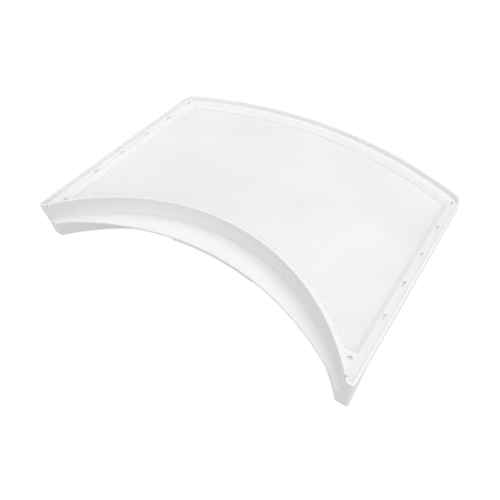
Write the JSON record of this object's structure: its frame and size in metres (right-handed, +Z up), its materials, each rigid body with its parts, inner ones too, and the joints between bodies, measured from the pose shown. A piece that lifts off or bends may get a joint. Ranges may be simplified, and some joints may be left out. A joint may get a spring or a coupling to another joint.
{
  "type": "dryer lint filter",
  "caption": "Flat white dryer lint filter: a moulded frame with a hollow curved front wall and a crescent finger ledge, round a fine woven mesh screen.",
  "frame": {"origin": "on the surface that the filter lies on, under the middle of its bounding box", "axes": "+X across the filter to its right side, +Y from the hollow front edge to the back, +Z up"},
  "size_m": [0.332, 0.2621, 0.0525],
  "materials": {
    "frame": "satin moulded white",
    "mesh": "fine plain-woven white mesh"
  },
  "bodies": {
    "root": {"frame": "frame", "mesh_screen": "mesh"}
  },
  "joints": []
}
